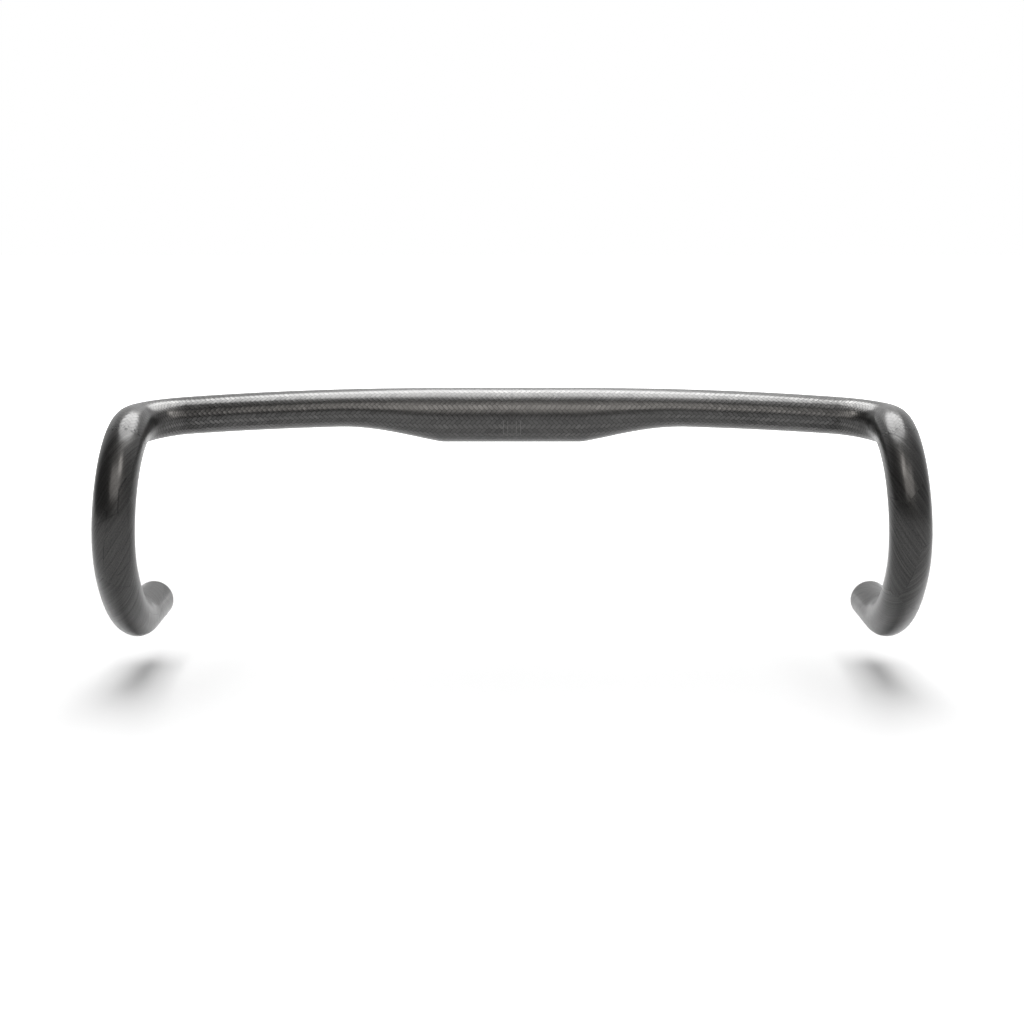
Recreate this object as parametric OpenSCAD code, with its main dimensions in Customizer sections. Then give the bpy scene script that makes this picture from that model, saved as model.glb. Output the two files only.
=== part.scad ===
// Drop handlebar for a road bicycle, moulded in one piece from carbon fibre.
// X runs across the bar, +Y points back towards the rider and +Z points up.
// The origin is the centre of the round zone that the stem clamps.

/* [Stem clamp zone] */
// Diameter of the tube where the stem clamps it
clamp_d = 31.8; // [25.4:0.1:35]
// Length of the round clamp zone
clamp_w = 81; // [50:1:110]

/* [Tops] */
// Height of the flattened tops
top_h = 22; // [18:0.1:31]
// Depth of the flattened tops, front to back
top_depth = 30; // [24:0.5:40]
// Length over which the clamp zone flattens into the oval
taper_l = 63; // [30:1:85]
// Backward sweep of the tops where they meet the corner, in degrees
sweep_angle = 2.8; // [0:0.1:6]
// Downward slope of the tops where they meet the corner, in degrees
droop_angle = 4.3; // [0:0.1:8]

/* [Hooks] */
// Distance between the tube centres where the hooks start
hood_w = 436; // [400:1:480]
// Outer diameter of the hooks and drops
tube_d = 23.8; // [22:0.1:26]
// Bend radius of the corner between the tops and the hook
corner_r = 27; // [22:0.5:40]
// Fall of the tube where it leaves the corner, in degrees
ramp_angle = 1; // [0:0.5:20]
// Bend radius of the upper part of the hook
upper_r = 48.3; // [35:0.1:70]
// Angle that the upper bend turns through
upper_angle = 125.4; // [90:0.1:140]
// Bend radius of the lower part of the hook
lower_r = 116; // [60:1:160]
// Bend radius of the heel that runs into the drop
heel_r = 50; // [30:0.5:90]
// Angle that the heel turns through
heel_angle = 18.6; // [5:0.1:30]
// Outward flare of the hooks, in degrees
flare_angle = 3.55; // [0:0.05:12]

/* [Drops] */
// Straight length of the drop behind the heel
drop_l = 37.6; // [25:0.1:80]
// Chamfer round the outside of the cut end
end_chamfer = 0.5; // [0.2:0.1:1]

/* [Shell] */
// Wall thickness of the laminate
wall = 2; // [1.5:0.1:3]

/* [Hidden] */
$fn = 96;

clamp_r = clamp_d / 2;
tube_r = tube_d / 2;
half_w = clamp_w / 2;

// Points round each ring of the oval stretch, and its steps along the tops and
// round the corner
ring_n = 40;
tops_steps = 18;
corner_steps = 12;
// Neighbouring stretches of tube share a short lap. Every second bend is
// thinner by a hair, and the oval tucks its ends into the round tubes, so
// that they all close on each other cleanly.
lap = 1;
hair = 0.05;
tuck = 0.15;

// Vector helpers
function unit(v) = v / norm(v);
function mix(a, b, t) = a + (b - a) * t;
function clip(t) = max(0, min(1, t));
// A quick start that fades out, for the taper beside the clamp zone
function fade(t) = pow(sin(90 * clip(t)), 1.2);
// A soft start and a soft end, where the oval turns round in the corner
function soft(t) = let (c = clip(t)) c * c * (3 - 2 * c);

// Directions at the corner: along the tops, and down the ramp.
// The hook lies in a plane that holds `forward` and `down`.
tops_dir = unit([1, tan(sweep_angle), -tan(droop_angle)]);
forward = [0, -1, 0];
down = [sin(flare_angle), 0, -cos(flare_angle)];
function hook_dir(phi) = cos(phi) * forward + sin(phi) * down;
function hook_in(phi) = cos(phi) * down - sin(phi) * forward;

// The corner turns from the tops into the ramp about one axis.
corner_angle = acos(tops_dir * hook_dir(ramp_angle));
corner_in = unit(hook_dir(ramp_angle) - cos(corner_angle) * tops_dir);
corner_step = corner_r * (sin(corner_angle) * tops_dir + (1 - cos(corner_angle)) * corner_in);

// Where the tops end, so that the hooks start at hood_w apart
tops_x = hood_w / 2 - corner_step.x;
tops_l = tops_x - half_w;
section_up = cross(corner_in, tops_dir);

// A station of the oval stretch: centre, direction, half height, half depth
// and how far the skin stays back from it
function station(c, t, h, d, back = 0) = [c, t, h - back, d - back];

// Tops at x. The top edge runs straight out of the clamp zone and then droops;
// the centre follows as the oval thins.
function tops_half(x, mid) = mix(clamp_r, mid, fade((x - half_w) / taper_l));
function tops_station(x, back = 0) =
    let (s = max(0, x - half_w) / tops_l, h = tops_half(x, top_h / 2), half_l = tops_l / 2)
    station([x, tan(sweep_angle) * half_l * s * s, clamp_r - h - tan(droop_angle) * half_l * s * s],
            unit([1, tan(sweep_angle) * s, -tan(droop_angle) * s]),
            h, tops_half(x, top_depth / 2), back);

// Corner after a turn of q degrees. The oval turns round on the way.
function corner_station(q, back = 0) =
    let (s = soft(q / corner_angle))
    station(corner_start + corner_r * (sin(q) * tops_dir + (1 - cos(q)) * corner_in),
            cos(q) * tops_dir + sin(q) * corner_in,
            mix(corner_h, tube_r, s), mix(corner_d, tube_r, s), back);
corner_start = tops_station(tops_x)[0];
corner_h = tops_station(tops_x)[2];
corner_d = tops_station(tops_x)[3];

// One ring, square to the centre line and `depth` inside the skin
function ring(st, depth) =
    let (back = unit(cross(section_up, st[1])), up = cross(st[1], back))
    [for (i = [0:ring_n - 1]) let (q = 360 * i / ring_n)
        st[0] + (st[3] - depth) * cos(q) * back + (st[2] - depth) * sin(q) * up];

// Stations from the clamp zone to the hook, with a lap to each side of both
// joints, and none in the plane of a joint
lap_angle = lap / corner_r * 180 / PI;
stations = concat(
    [for (x = [half_w - lap, half_w + lap]) tops_station(x, tuck)],
    [for (i = [1:tops_steps]) tops_station(mix(half_w, tops_x, i / tops_steps))],
    [for (i = [1:corner_steps - 1]) corner_station(corner_angle * i / corner_steps)],
    [for (k = [-2, 1]) corner_station(corner_angle + k * lap_angle, tuck)]);

// Hook chain: the heading after each bend, and the end point of each piece
phi_1 = ramp_angle + upper_angle;
phi_2 = 180 - heel_angle;
ramp_start = corner_start + corner_step;
lower_start = bend_end(ramp_start, upper_r, ramp_angle, phi_1);
heel_start = bend_end(lower_start, lower_r, phi_1, phi_2);
drop_start = bend_end(heel_start, heel_r, phi_2, 180);
function bend_end(p, r, a, b) = p + r * ((sin(b) - sin(a)) * forward + (cos(a) - cos(b)) * down);

// Places its children with local X, Y and Z along the given directions
module frame(o, x, y) {
    z = cross(x, y);
    multmatrix([[x.x, y.x, z.x, o.x], [x.y, y.y, z.y, o.y], [x.z, y.z, z.z, o.z]])
        children();
}

// A rod of radius `r` that starts at `p` along `dir` and curves `inward` at
// radius `bend` through `turn` degrees. `over` lengthens it at both ends.
module bend(p, dir, inward, bend, turn, r, over = 0) {
    extra = over / bend * 180 / PI;
    frame(p + bend * inward, -inward, dir)
        rotate(-extra)
            rotate_extrude(angle = turn + 2 * extra)
                translate([bend, 0]) circle(r);
}

// The oval stretch from the clamp zone round the corner to the hook
module oval(depth) {
    n = ring_n;
    m = len(stations);
    skin = [for (k = [0:m - 2], i = [0:n - 1]) let (j = (i + 1) % n)
        each [[k * n + j, k * n + i, (k + 1) * n + i],
              [(k + 1) * n + j, k * n + j, (k + 1) * n + i]]];
    near = [for (i = [0:n - 1]) i];
    far = [for (i = [0:n - 1]) m * n - 1 - i];
    polyhedron(points = [for (st = stations) each ring(st, depth)],
               faces = concat(skin, [near, far]));
}

// The drop, from the heel to its cut end, with the chamfer of its rim.
// The hollow runs out through the end.
module drop(depth) {
    frame(drop_start, [1, 0, 0], [0, 0, -1])
        if (depth > 0)
            cylinder(h = drop_l + lap, r = tube_r - depth);
        else {
            cylinder(h = drop_l - end_chamfer, r = tube_r);
            translate([0, 0, drop_l - end_chamfer])
                cylinder(h = end_chamfer, r1 = tube_r, r2 = tube_r - end_chamfer);
        }
}

// One side of the bar as solid rods, `depth` inside the outer skin
module side(depth) {
    r = tube_r - depth;
    oval(depth);
    bend(ramp_start, hook_dir(ramp_angle), hook_in(ramp_angle), upper_r, upper_angle, r - hair, lap);
    bend(lower_start, hook_dir(phi_1), hook_in(phi_1), lower_r, phi_2 - phi_1, r);
    bend(heel_start, hook_dir(phi_2), hook_in(phi_2), heel_r, heel_angle, r - hair, lap);
    drop(depth);
}

module rods(depth) {
    translate([-half_w, 0, 0]) rotate([0, 90, 0]) cylinder(h = clamp_w, r = clamp_r - depth);
    side(depth);
    mirror([1, 0, 0]) side(depth);
}

module handlebar() {
    color("#2c2b2b")
        difference() {
            rods(0);
            rods(wall);
        }
}

handlebar();
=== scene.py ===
"""Looks for a carbon fibre drop handlebar: the laminate's skin, the studio and the camera."""

import math
from typing import NamedTuple

import bpy
import numpy as np
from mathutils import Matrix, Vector


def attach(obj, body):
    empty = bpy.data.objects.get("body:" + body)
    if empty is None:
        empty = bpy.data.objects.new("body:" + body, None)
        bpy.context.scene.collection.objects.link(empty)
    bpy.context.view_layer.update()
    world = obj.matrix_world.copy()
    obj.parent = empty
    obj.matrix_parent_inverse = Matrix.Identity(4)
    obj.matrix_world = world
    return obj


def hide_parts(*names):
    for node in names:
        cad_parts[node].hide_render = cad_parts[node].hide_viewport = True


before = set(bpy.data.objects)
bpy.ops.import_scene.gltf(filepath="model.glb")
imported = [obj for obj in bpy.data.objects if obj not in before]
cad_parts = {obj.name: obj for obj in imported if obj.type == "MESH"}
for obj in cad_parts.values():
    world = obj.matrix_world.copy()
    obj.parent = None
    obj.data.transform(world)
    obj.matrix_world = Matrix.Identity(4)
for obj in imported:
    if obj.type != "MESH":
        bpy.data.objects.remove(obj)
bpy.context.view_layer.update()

MM = 0.001

# Driving sizes of the bar, in millimetres and radians, as its solid has them
CLAMP_R = 15.9
CLAMP_HALF = 40.5
TOP_H = 22.0
TOP_DEPTH = 30.0
TAPER_L = 63.0
SWEEP_A = math.radians(2.8)
DROOP_A = math.radians(4.3)
HOOD_HALF = 218.0
TUBE_R = 11.84  # a hair inside the solid's hooks
CORNER_R = 27.0
RAMP_A = math.radians(1.0)
UPPER_R = 48.3
UPPER_A = math.radians(125.4)
LOWER_R = 116.0
HEEL_R = 50.0
HEEL_A = math.radians(18.6)
LOWER_A = math.pi - RAMP_A - UPPER_A - HEEL_A
FLARE_A = math.radians(3.55)
DROP_L = 37.6
END_CHAMFER = 0.5
WALL = 2.0

# Mesh fineness: points round the tube and the largest step along it, in mm
ROUND_N = 96
STEP = 1.6
INNER_STEP = 4.0
LEAST_STEP = 0.2  # a ring closer than this to the chamfer is left out


def unit(v):
    v = np.asarray(v, float)
    return v / np.linalg.norm(v)


def clip(t):
    return min(1.0, max(0.0, t))


def mix(a, b, t):
    return a + (b - a) * t


def fade(t):
    """A quick start that fades out, for the taper beside the clamp zone."""
    return math.sin(math.pi / 2 * clip(t)) ** 1.2


def soft(t):
    """A soft start and a soft end, where the oval turns round in the corner."""
    c = clip(t)
    return c * c * (3 - 2 * c)


# --- the centre line of one side, as the solid has it -------------------------

FORWARD = np.array([0.0, -1.0, 0.0])
DOWN = np.array([math.sin(FLARE_A), 0.0, -math.cos(FLARE_A)])
HOOK_AXIS = np.cross(FORWARD, DOWN)
TOPS_DIR = unit([1, math.tan(SWEEP_A), -math.tan(DROOP_A)])


def hook_dir(phi):
    return math.cos(phi) * FORWARD + math.sin(phi) * DOWN


CORNER_A = math.acos(float(TOPS_DIR @ hook_dir(RAMP_A)))
CORNER_IN = unit(hook_dir(RAMP_A) - math.cos(CORNER_A) * TOPS_DIR)


def corner_step(q):
    """The way from the start of the corner to where it has turned by q."""
    return CORNER_R * (math.sin(q) * TOPS_DIR + (1 - math.cos(q)) * CORNER_IN)


TOPS_X = HOOD_HALF - corner_step(CORNER_A)[0]
TOPS_L = TOPS_X - CLAMP_HALF
SECTION_UP = np.cross(CORNER_IN, TOPS_DIR)


def half_axis(x, middle):
    return mix(CLAMP_R, middle, fade((x - CLAMP_HALF) / TAPER_L))


def tops_at(x):
    """Centre, direction and half-axes of the section at x on the tops."""
    s = max(0.0, x - CLAMP_HALF) / TOPS_L
    high, deep = half_axis(x, TOP_H / 2), half_axis(x, TOP_DEPTH / 2)
    back = math.tan(SWEEP_A) * TOPS_L / 2 * s * s
    fall = math.tan(DROOP_A) * TOPS_L / 2 * s * s
    centre = np.array([x, back, CLAMP_R - high - fall])
    heading = unit([1, math.tan(SWEEP_A) * s, -math.tan(DROOP_A) * s])
    return centre, heading, high, deep


def bend_point(p, r, a, b):
    """The end of a bend of radius r that starts at p and heads from a to b."""
    return p + r * ((math.sin(b) - math.sin(a)) * FORWARD + (math.cos(a) - math.cos(b)) * DOWN)


def turned(v, angle):
    """A direction that turns with the hook, in the hook's plane."""
    along_axis = HOOK_AXIS * (HOOK_AXIS @ v)
    return (
        v * math.cos(angle)
        + np.cross(HOOK_AXIS, v) * math.sin(angle)
        + along_axis * (1 - math.cos(angle))
    )


class Ring(NamedTuple):
    """One section of the tube, and its distance along it from the middle."""

    centre: np.ndarray
    heading: np.ndarray
    up: np.ndarray
    high: float
    deep: float
    way: float


def stations(step):
    """Rings from the middle of the bar to the cut end of a drop, no more
    than `step` apart."""
    rings = []

    def add(centre, heading, up, high, deep):
        way = 0.0
        if rings:
            way = rings[-1].way + float(np.linalg.norm(centre - rings[-1].centre))
        side = unit(np.cross(up, heading))
        rings.append(Ring(centre, heading, np.cross(heading, side), high, deep, way))

    def shares(length):
        n = math.ceil(length / step)
        return [i / n for i in range(1, n + 1)]

    for share in [0.0] + shares(TOPS_X):
        centre, heading, high, deep = tops_at(TOPS_X * share)
        add(centre, heading, SECTION_UP, high, deep)

    start = rings[-1]
    for share in shares(CORNER_R * CORNER_A):
        q, roundness = CORNER_A * share, soft(share)
        heading = math.cos(q) * TOPS_DIR + math.sin(q) * CORNER_IN
        high, deep = mix(start.high, TUBE_R, roundness), mix(start.deep, TUBE_R, roundness)
        add(start.centre + corner_step(q), heading, SECTION_UP, high, deep)

    a = RAMP_A
    for r, turn in ((UPPER_R, UPPER_A), (LOWER_R, LOWER_A), (HEEL_R, HEEL_A)):
        start = rings[-1]
        for share in shares(r * turn):
            b = a + turn * share
            up = turned(start.up, b - a)
            add(bend_point(start.centre, r, a, b), hook_dir(b), up, TUBE_R, TUBE_R)
        a += turn

    start = rings[-1]
    for share in shares(DROP_L):
        add(start.centre - FORWARD * DROP_L * share, -FORWARD, start.up, TUBE_R, TUBE_R)
    return rings


def ring_points(ring, depth):
    """Points of one ring, `depth` inside the skin, from underneath, up the
    back, over the top and down the front; how far round each one is, as an
    angle; and the girth of the skin."""
    side = unit(np.cross(ring.up, ring.heading))
    q = np.linspace(0, 2 * math.pi, ROUND_N, endpoint=False)
    a, b = ring.deep - depth, ring.high - depth
    points = ring.centre + np.outer(a * np.sin(q), side) - np.outer(b * np.cos(q), ring.up)
    # Ramanujan's length of an ellipse
    root = math.sqrt((3 * ring.high + ring.deep) * (ring.high + 3 * ring.deep))
    return points, q, math.pi * (3 * (ring.high + ring.deep) - root)


def make_bar():
    """The moulding: skin, cut rims and bore, as one closed mesh with a UV map
    that gives the distance along the tube and round it, in metres."""
    verts, faces, coords = [], [], []

    def add_ring(ring, sign, depth):
        points, q, girth = ring_points(ring, depth)
        for p, angle in zip(points * [sign, 1, 1], q):
            verts.append(p * MM)
            round_way = (angle / (2 * math.pi) - 0.5) * girth
            coords.append((sign * ring.way * MM, round_way * MM, girth * MM))

    def add_tube(step, depth, trim, inward):
        """Adds a tube that stops `trim` short of the cut ends. Gives the first
        vertex of the ring at each end."""
        side = stations(step)
        if trim:
            end = side[-1]
            cut = end._replace(centre=end.centre - end.heading * trim, way=end.way - trim)
            side = [r for r in side if r.way < cut.way - LEAST_STEP] + [cut]
        both = [(r, -1) for r in reversed(side)] + [(r, 1) for r in side[1:]]
        first = len(verts)
        for ring, sign in both:
            add_ring(ring, sign, depth)
        for a in range(first, len(verts) - ROUND_N, ROUND_N):
            b = a + ROUND_N
            for i in range(ROUND_N):
                j = (i + 1) % ROUND_N
                quad = [a + i, a + j, b + j, b + i]
                faces.append(quad if inward else quad[::-1])
        return first, len(verts) - ROUND_N

    outer = add_tube(STEP, 0.0, END_CHAMFER, inward=False)
    skin_faces = len(faces)
    inner = add_tube(INNER_STEP, WALL, 0.0, inward=True)

    # The cut rims: a small chamfer, then the flat end of the wall
    end = stations(STEP)[-1]
    for sign, out_at, in_at in zip((-1, 1), outer, inner):
        rim = len(verts)
        add_ring(end, sign, END_CHAMFER)
        for i in range(ROUND_N):
            j = (i + 1) % ROUND_N
            chamfer = [out_at + i, out_at + j, rim + j, rim + i]
            flat_end = [rim + i, rim + j, in_at + j, in_at + i]
            for quad in (chamfer, flat_end):
                faces.append(quad[::-1] if sign > 0 else quad)

    mesh = bpy.data.meshes.new("bar_moulding")
    mesh.from_pydata([tuple(v) for v in verts], [], faces)
    uv = mesh.uv_layers.new(name="laminate")
    index = np.empty(len(mesh.loops), np.int32)
    mesh.loops.foreach_get("vertex_index", index)
    flat = np.array(coords)[index]
    # A face that crosses the seam underneath takes the far side's distance
    for poly in mesh.polygons:
        span = slice(poly.loop_start, poly.loop_start + poly.loop_total)
        v = flat[span, 1]
        if v.max() - v.min() > 0.25 * flat[span, 2].min():
            flat[span, 1] = np.where(v < 0, v + flat[span, 2], v)
    uv.data.foreach_set("uv", flat[:, :2].astype(np.float32).ravel())
    mesh.validate()
    mesh.update()
    for poly in mesh.polygons:
        poly.use_smooth = True
        poly.material_index = int(poly.index >= skin_faces)
    bar = bpy.data.objects.new("bar_moulding", mesh)
    bpy.context.scene.collection.objects.link(bar)
    return bar


# --- shader arithmetic --------------------------------------------------------


def plug(tree, value, slot):
    """Drives a socket with a field, or sets it to a number."""
    if isinstance(value, Field):
        tree.links.new(value.socket, slot)
    else:
        slot.default_value = value


class Field:
    """A number that varies over the surface, worked out by Math nodes."""

    def __init__(self, tree, socket):
        self.tree, self.socket = tree, socket

    def calc(self, operation, *values):
        node = self.tree.nodes.new("ShaderNodeMath")
        node.operation = operation
        for slot, value in zip(node.inputs, values):
            plug(self.tree, value, slot)
        return Field(self.tree, node.outputs[0])

    def __add__(self, other):
        return self.calc("ADD", self, other)

    def __radd__(self, other):
        return self.calc("ADD", other, self)

    def __sub__(self, other):
        return self.calc("SUBTRACT", self, other)

    def __rsub__(self, other):
        return self.calc("SUBTRACT", other, self)

    def __mul__(self, other):
        return self.calc("MULTIPLY", self, other)

    def __truediv__(self, other):
        return self.calc("DIVIDE", self, other)

    def __pow__(self, power):
        return self.calc("POWER", self, power)

    def __mod__(self, other):
        return self.calc("FLOORED_MODULO", self, other)

    def below(self, other):
        return self.calc("LESS_THAN", self, other)

    def least(self, other):
        return self.calc("MINIMUM", self, other)

    def most(self, other):
        return self.calc("MAXIMUM", self, other)

    @property
    def size(self):
        return self.calc("ABSOLUTE", self)

    @property
    def floor(self):
        return self.calc("FLOOR", self)

    @property
    def fraction(self):
        return self.calc("FRACT", self)

    @property
    def sine(self):
        return self.calc("SINE", self)

    def step(self, low, high):
        """0 below low, 1 above high, with a soft ramp between them."""
        node = self.tree.nodes.new("ShaderNodeMapRange")
        node.interpolation_type = "SMOOTHSTEP"
        self.tree.links.new(self.socket, node.inputs["Value"])
        node.inputs["From Min"].default_value = low
        node.inputs["From Max"].default_value = high
        return Field(self.tree, node.outputs["Result"])

    def towards(self, other, share):
        """Itself where share is 0, other where it is 1."""
        return self + (other - self) * share


def combine(tree, kind, *parts):
    node = tree.nodes.new(kind)
    for slot, part in zip(node.inputs, parts):
        plug(tree, part, slot)
    return node.outputs[0]


def vector(tree, *parts):
    return combine(tree, "ShaderNodeCombineXYZ", *parts)


def colour(tree, *parts):
    return combine(tree, "ShaderNodeCombineColor", *parts)


def split(tree, socket, kind="ShaderNodeSeparateXYZ"):
    node = tree.nodes.new(kind)
    tree.links.new(socket, node.inputs[0])
    return [Field(tree, out) for out in node.outputs]


def position(tree):
    return split(tree, tree.nodes.new("ShaderNodeNewGeometry").outputs["Position"])


def noise(tree, *parts, detail=2.0):
    node = tree.nodes.new("ShaderNodeTexNoise")
    node.inputs["Scale"].default_value = 1.0
    node.inputs["Detail"].default_value = detail
    tree.links.new(vector(tree, *parts), node.inputs["Vector"])
    return Field(tree, node.outputs["Fac"])


def chance(tree, *parts):
    """A random number from 0 to 1 for each whole-numbered place."""
    node = tree.nodes.new("ShaderNodeTexWhiteNoise")
    node.noise_dimensions = "3D"
    tree.links.new(vector(tree, *parts), node.inputs["Vector"])
    return Field(tree, node.outputs["Value"])


def patches(tree, *parts):
    """Irregular straight-edged patches: two random numbers for each one and
    the distance to its edge, in the units of the place given."""
    place = vector(tree, *parts)

    def cells(feature):
        node = tree.nodes.new("ShaderNodeTexVoronoi")
        node.feature = feature
        node.inputs["Scale"].default_value = 1.0
        node.inputs["Randomness"].default_value = 0.9
        tree.links.new(place, node.inputs["Vector"])
        return node.outputs

    first, second, _ = split(tree, cells("F1")["Color"], "ShaderNodeSeparateColor")
    return first, second, Field(tree, cells("DISTANCE_TO_EDGE")["Distance"])


def bumpy(tree, height, strength=1.0):
    """The surface's direction once `height`, in metres, lies on it."""
    node = tree.nodes.new("ShaderNodeBump")
    node.inputs["Distance"].default_value = 1.0
    node.inputs["Strength"].default_value = strength
    tree.links.new(height.socket, node.inputs["Height"])
    return node.outputs[0]


def new_material(name):
    material = bpy.data.materials.new(name)
    material.use_nodes = True
    tree = material.node_tree
    return material, tree, tree.nodes["Principled BSDF"]


# --- the laminate -------------------------------------------------------------

# Lengths here are in metres. A place on the skin is its distance along the tube
# from the middle of the bar, its distance round the tube from the top, and the
# hand: 1 on the bar's left side in the picture and 0 on its right.

TOW = 0.00205  # width of one tow of the woven cover
TOW_CROWN = 0.00004  # how far a tow's crown stands above its edges
FIBRE_CROWN = 0.000006  # and how far its fibres stand above each other
CLOTH_END = 0.2585  # distance along the tube at which the woven cover stops
CLOTH_FRAY = 0.006  # how far that edge strays from thread to thread
CLOTH_SWAY = 0.008  # and in its long waves
FIBRE_ANGLE = math.radians(38)  # of the unidirectional plies, to the tube
PLY_TILT = 0.24  # how far the fibres of one patch lean against another's
PLY_STEP = 0.00005  # the largest step in height from one patch to another
LINE_PITCH = 0.0025  # of the centring lines on the clamp zone
TONE = 0.062  # grey of the graphite

# Edges of hand-laid plies that show on the left hook: ends of each line along
# and round the tube, in mm, and depth of its tone
PLY_EDGES = (
    ((285.7, 9.3), (291.7, 6.2), 0.6),
    ((291.7, 6.2), (301.6, 6.5), 0.6),
    ((310.6, -11.5), (301.6, 6.5), 0.25),
    ((312.6, 14.6), (326.6, 14.0), 0.3),
    ((326.6, 14.0), (332.6, 5.3), 0.35),
)
PLY_EDGE_HALF = 0.4  # half the width of such a line, in mm


def twill(tree, along, across):
    """2 by 2 twill with its tows at 45 degrees to the tube: the height of the
    cloth, how bright each tow is, and which way its fibres run. The brightness
    holds painted sheen on the warp tows and painted shade in the grooves
    between the tows."""
    p = (along + across) / (math.sqrt(2) * TOW)
    q = (along - across) / (math.sqrt(2) * TOW)
    turn = (p.floor - q.floor) % 4
    warp = turn.below(1.5)
    side = q.fraction.towards(p.fraction, warp)
    run = (turn - 2 + p.fraction).towards(1 - turn + q.fraction, warp)
    crown = (side * math.pi).sine.most(0) ** 0.6
    bow = (run * (math.pi / 2)).sine.most(0) ** 0.5
    lengthwise, crosswise = (p * 0.5).towards(q * 0.5, warp), (q * 13).towards(p * 13, warp)
    fibres = noise(tree, crosswise, lengthwise, warp * 9, detail=3)
    height = crown * (bow * 0.7 + 0.3) * TOW_CROWN + fibres * FIBRE_CROWN
    own = chance(tree, q.floor.towards(p.floor, warp), warp, 3.0)
    # Painted sheen: warp tows are made 0.3 brighter to stand in for their anisotropic reflection;
    # own gives each tow a random tone
    shade = 0.72 + own * 0.34 + warp * 0.3 + (fibres - 0.5) * 1.0
    # Painted shade: the tone falls to a quarter in the grooves where the tows dip at their edges
    # and ends
    painted_groove_shade = (crown * bow).step(0.05, 0.55)
    return height, shade * (painted_groove_shade * 0.75 + 0.25), warp


def plies(tree, along, across, hand):
    """Unidirectional plies under the clear coat: straight fibres in patches
    that were laid by hand, with the edge of each patch just showing."""
    c, s = math.cos(FIBRE_ANGLE), math.sin(FIBRE_ANGLE)
    first, second, edge = patches(
        tree, along * 24 - across * 9, across * 34 + along * 6, hand * 7
    )
    flipped = first.below(0.3)
    wander = (noise(tree, along * 40, across * 40, hand * 4) - 0.5) * 0.0016
    # Distances along the fibres and across them
    f = (across * s - along * c).towards(across * c + along * s, flipped)
    g = (along * s + across * c).towards(along * c - across * s, flipped)
    g = g + f * ((second - 0.5) * PLY_TILT) + wander
    fine = noise(tree, g * 4200, f * 50, hand, detail=2)
    tows = noise(tree, g * 820, f * 16, hand + 7, detail=2)
    grain = noise(tree, along * 1300, across * 1300, hand + 3, detail=3)
    shown = noise(tree, along * 70, across * 70, hand * 3 + 2).step(0.46, 0.6)
    seam = (1 - edge.step(0.0, 0.014)) * shown
    height = fine * 0.000003 + tows * 0.00001 + first * PLY_STEP - seam * 0.00003
    shade = (
        0.62 + second * 0.5 + (fine - 0.5) * 1.3 + (tows - 0.5) * 1.5 + (grain - 0.5) * 1.0
    )
    return height, shade * (1 - seam * 0.5), flipped


def cloth_edge(tree, along, across, hand):
    """Where the cloth stops on the hooks: 1 past its edge, and 1 on the
    threads that fray out of it."""
    fray = noise(tree, across * 900, hand * 5, 1.0, detail=3)
    sway = noise(tree, across * 60, hand * 5, 6.0)
    past = along - CLOTH_END + (fray - 0.5) * CLOTH_FRAY + (sway - 0.5) * CLOTH_SWAY
    p, q = along + across, along - across
    threads = noise(tree, p * 1100, q * 260, hand * 5, detail=1)
    crossed = noise(tree, q * 1100, p * 260, hand * 5 + 2, detail=1)
    near = 1 - (past - 0.0004).size.step(0.0006, 0.0026)
    return past.step(-0.0002, 0.0002), near * threads.most(crossed).step(0.56, 0.64)


def centring_lines(along, across):
    """1 on the fine lines in the middle of the clamp zone's front."""
    front = across.step(0.0255, 0.027) * (1 - across.step(0.034, 0.037))
    comb = ((along + LINE_PITCH / 2) / LINE_PITCH).fraction
    return (1 - (comb - 0.5).size.step(0.05, 0.13)) * (1 - along.step(0.0058, 0.0063)) * front


def stroke(along, across, ends, half_width):
    """1 on a fine line between two places on the skin, given in mm."""
    (x0, y0), (x1, y1) = ends
    dx, dy = (x1 - x0) * MM, (y1 - y0) * MM
    x, y = along - x0 * MM, across - y0 * MM
    share = ((x * dx + y * dy) / (dx * dx + dy * dy)).most(0).least(1)
    off = ((x - share * dx) ** 2 + (y - share * dy) ** 2) ** 0.5
    return 1 - off.step(half_width * MM * 0.4, half_width * MM * 1.6)


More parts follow.
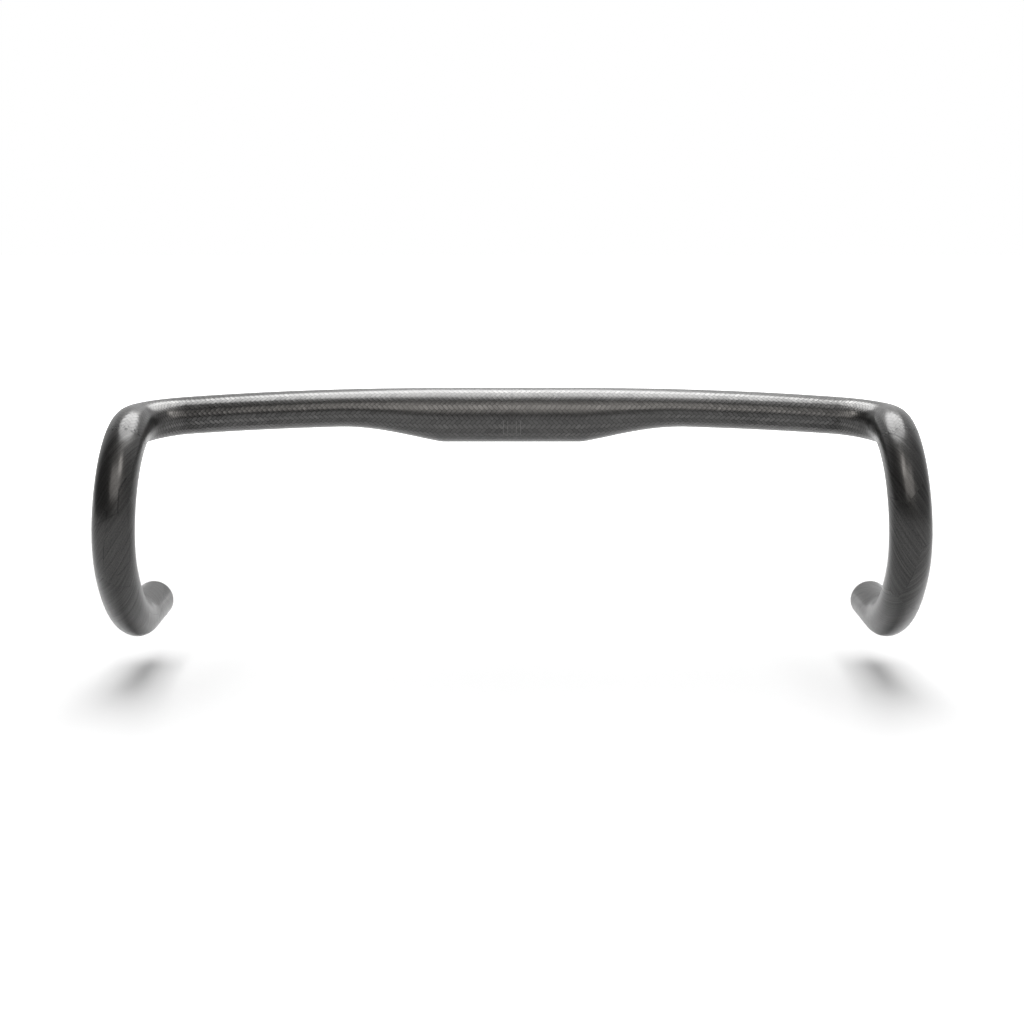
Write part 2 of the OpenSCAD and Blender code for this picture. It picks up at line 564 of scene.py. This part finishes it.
def laminate():
    """The skin: a woven cover that gives way to bare plies on the hooks."""
    material, tree, shader = new_material("carbon_laminate")
    uv = tree.nodes.new("ShaderNodeUVMap")
    uv.uv_map = "laminate"
    place, across, _ = split(tree, uv.outputs[0])
    along, hand = place.size, place.below(0)

    ply, frayed = cloth_edge(tree, along, across, hand)
    ply_height, ply_shade, flipped = plies(tree, along, across, hand)
    cloth_height, cloth_shade, warp = twill(tree, along, across)
    # The cloth is pressed flatter in some places than in others
    worn = noise(tree, along * 45, across * 70, hand * 3 + 11) + along.step(0.08, 0.18) * 0.3
    cloth_shade = 0.9 + (cloth_shade - 0.9) * (worn * 1.6 + 0.1)
    cloth_height = cloth_height * (0.8 + worn * 0.6)
    # Round the corner the cloth drowns in resin and loses its sparkle
    drowned = along.step(0.2, 0.25)
    cloth_shade = cloth_shade.towards(0.95, drowned * 0.55) * (1.2 - drowned * 0.36)

    height = cloth_height.towards(ply_height - PLY_STEP, ply)
    shade = cloth_shade.towards(ply_shade * 0.78, ply) * (1 - frayed * 0.85)
    wobble = across + (noise(tree, along * 700, across * 700, 9.0) - 0.5) * 0.0012
    for start, end, depth in PLY_EDGES:
        line = stroke(along, wobble, (start, end), PLY_EDGE_HALF)
        shade = shade * (1 - line * hand * depth)
    # The halves of the cloth meet in the middle
    join = 1 - along.step(0.0001, 0.0006)
    shade = shade * (1 - join * 0.25) + centring_lines(along, across) * 0.8

    cloud = noise(tree, along * 18, across * 30, hand * 3, detail=3)
    tone = (shade * (0.75 + cloud * 0.5)).most(0.08) * TONE
    tree.links.new(colour(tree, tone * 1.02, tone, tone * 0.98), shader.inputs["Base Color"])
    rough = (0.33 + (cloud - 0.5) * 0.1 - (shade - 0.9) * 0.06 + frayed * 0.2).most(0.2)
    plug(tree, rough, shader.inputs["Roughness"])

    # The sheen is stretched across the fibres, at 45 degrees to the tube
    tangent = tree.nodes.new("ShaderNodeTangent")
    tangent.direction_type = "UV_MAP"
    tangent.uv_map = "laminate"
    tree.links.new(tangent.outputs[0], shader.inputs["Tangent"])
    lean = warp.towards(flipped, ply)
    plug(tree, 0.125 + lean * 0.25, shader.inputs["Anisotropic Rotation"])
    shader.inputs["Anisotropic"].default_value = 0.5

    # The clear coat fills the weave, so it follows it less than the fibres do
    tree.links.new(bumpy(tree, height), shader.inputs["Normal"])
    tree.links.new(bumpy(tree, height, strength=0.4), shader.inputs["Coat Normal"])

    shader.inputs["Metallic"].default_value = 0.8
    shader.inputs["Coat Weight"].default_value = 0.5
    shader.inputs["Coat Roughness"].default_value = 0.18
    return material


CUT_PLY = 0.00033  # thickness of a ply, which shows as a ring on the cut rims


def cut_laminate():
    """The cut rims, where the plies show as rings, and the rough dark bore."""
    material, tree, shader = new_material("carbon_cut")
    x, y, z = position(tree)
    end = stations(STEP)[-1].centre * MM
    radius = ((x.size - end[0]) ** 2 + (z - end[2]) ** 2) ** 0.5
    grit = noise(tree, x * 900, y * 900, z * 900, detail=4)
    rings = (radius * (2 * math.pi / CUT_PLY) + grit * 2.5).sine * 0.5 + 0.5
    tone = rings * 0.02 + grit * 0.03 + 0.008
    tree.links.new(colour(tree, tone, tone, tone), shader.inputs["Base Color"])
    plug(tree, 0.42 + grit * 0.3, shader.inputs["Roughness"])
    tree.links.new(bumpy(tree, (grit + rings * 0.4) * 0.00006), shader.inputs["Normal"])
    return material


bar = make_bar()
bar.data.materials.append(laminate())
bar.data.materials.append(cut_laminate())
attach(bar, "root")
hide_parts("handlebar")

# --- studio -------------------------------------------------------------------

FLOOR_Z = -0.162
FLOOR_HALF = 6.0
FLOOR_GREY = 0.8
FLOOR_GLOW = 0.18  # how much of the white backdrop the floor has under the bar
WHITE = (1.0, 1.0, 1.0, 1.0)
WARM = (1.0, 0.96, 0.92)
FILL = 0.08  # how bright the dim room is that lights the bar from all round
SIDE_FILL = 0.32  # and how much brighter it is on the right
GLOSS_SHARE = 0.65  # how much of the white behind the bar its gloss sees

CAMERA_AT = (0, -0.99261, 0.1346)
CAMERA_DOWN = 11  # degrees that it looks down
LENS = 59.66

scene = bpy.context.scene
scene.view_settings.view_transform = "Standard"


def seen_white(tree, behind):
    """1 where the camera or glass looks, and GLOSS_SHARE where gloss looks
    behind the bar."""
    path = tree.nodes.new("ShaderNodeLightPath")
    camera, glossy, glass = (
        Field(tree, path.outputs[f"Is {kind} Ray"]) for kind in ("Camera", "Glossy", "Transmission")
    )
    return camera.most(glass).most(glossy * behind * GLOSS_SHARE)


def make_floor():
    mesh = bpy.data.meshes.new("floor")
    corners = [(x * FLOOR_HALF, y * FLOOR_HALF, 0) for x, y in ((-1, -1), (1, -1), (1, 1), (-1, 1))]
    mesh.from_pydata(corners, [], [(0, 1, 2, 3)])
    floor = bpy.data.objects.new("floor", mesh)
    floor.location = (0, 0, FLOOR_Z)
    scene.collection.objects.link(floor)
    material, tree, shader = new_material("floor")
    shader.inputs["Base Color"].default_value = (FLOOR_GREY, FLOOR_GREY, FLOOR_GREY, 1)
    shader.inputs["Roughness"].default_value = 0.9
    shader.inputs["Specular IOR Level"].default_value = 0.0
    # Away from the lamps the floor turns into a plain white backdrop
    x, y, _ = position(tree)
    away = (x * x + y * y).step(0.14, 0.8)
    glow = seen_white(tree, y.step(0.3, 1.2)) * (away * (1 - FLOOR_GLOW) + FLOOR_GLOW)
    plug(tree, glow, shader.inputs["Emission Strength"])
    shader.inputs["Emission Color"].default_value = WHITE
    floor.data.materials.append(material)


def make_world():
    world = bpy.data.worlds.new("studio")
    scene.world = world
    world.use_nodes = True
    tree = world.node_tree
    background = tree.nodes["Background"]
    background.inputs["Color"].default_value = WHITE
    direction = tree.nodes.new("ShaderNodeTexCoord").outputs["Generated"]
    right, behind, _ = split(tree, direction)
    fill = FILL + right.step(-0.25, 0.4) * SIDE_FILL
    level = fill.towards(1, seen_white(tree, behind.step(0.1, 0.7)))
    plug(tree, level, background.inputs["Strength"])


def soft_box(name, at, aim, size, radiance, tint=WHITE[:3], shape="RECTANGLE", spread=None):
    """A lamp at `at`, facing `aim`, that looks `radiance` bright. A grid over
    it can keep its light within `spread`, in degrees."""
    width, height = size
    area = width * height * (math.pi / 4 if shape == "ELLIPSE" else 1)
    lamp = bpy.data.lights.new(name, "AREA")
    lamp.color = tint
    lamp.shape = shape
    lamp.size, lamp.size_y = width, height
    lamp.energy = radiance * math.pi * area
    if spread:
        half = math.radians(spread) / 2
        lamp.spread = 2 * half
        lamp.energy *= 1 - half / math.tan(half)
    box = bpy.data.objects.new(name, lamp)
    box.location = at
    box.rotation_euler = (Vector(aim) - Vector(at)).to_track_quat("-Z", "Y").to_euler()
    scene.collection.objects.link(box)
    return box


def make_lamps():
    # The key light falls from high above and makes the short, soft shadows
    key = soft_box("key", (0, 0.1, 4.0), (0, 0.1, 0), (3.0, 6.0), 4.2)
    key.visible_glossy = False
    # The other boxes only show in the gloss of the bar. The near ones stand
    # close in front, each with a grid that keeps its light on one hook.
    gloss_boxes = [
        soft_box("overhead", (0, 0.44, 1.0), (0, 0, 0), (1.15, 1.1), 5.984, shape="ELLIPSE"),
        soft_box("front", (0, -1.15, 0.86), (0, 0, 0), (1.2, 0.92), 1.9, WARM),
    ]
    for name, side in (("near_left", -1), ("near_right", 1)):
        at, aim = (0, -0.33, 0.42), (side * 0.22, -0.07, -0.03)
        gloss_boxes.append(soft_box(name, at, aim, (0.15, 0.29), 6.366, WARM, "ELLIPSE", 50))
    for box in gloss_boxes:
        box.visible_diffuse = False
        box.visible_camera = False


def make_camera():
    cam = bpy.data.cameras.new("camera")
    cam.sensor_width = 36
    cam.lens = LENS
    camera = bpy.data.objects.new("camera", cam)
    camera.location = CAMERA_AT
    camera.rotation_euler = (math.radians(90 - CAMERA_DOWN), 0, 0)
    scene.collection.objects.link(camera)
    scene.camera = camera


make_floor()
make_world()
make_lamps()
make_camera()
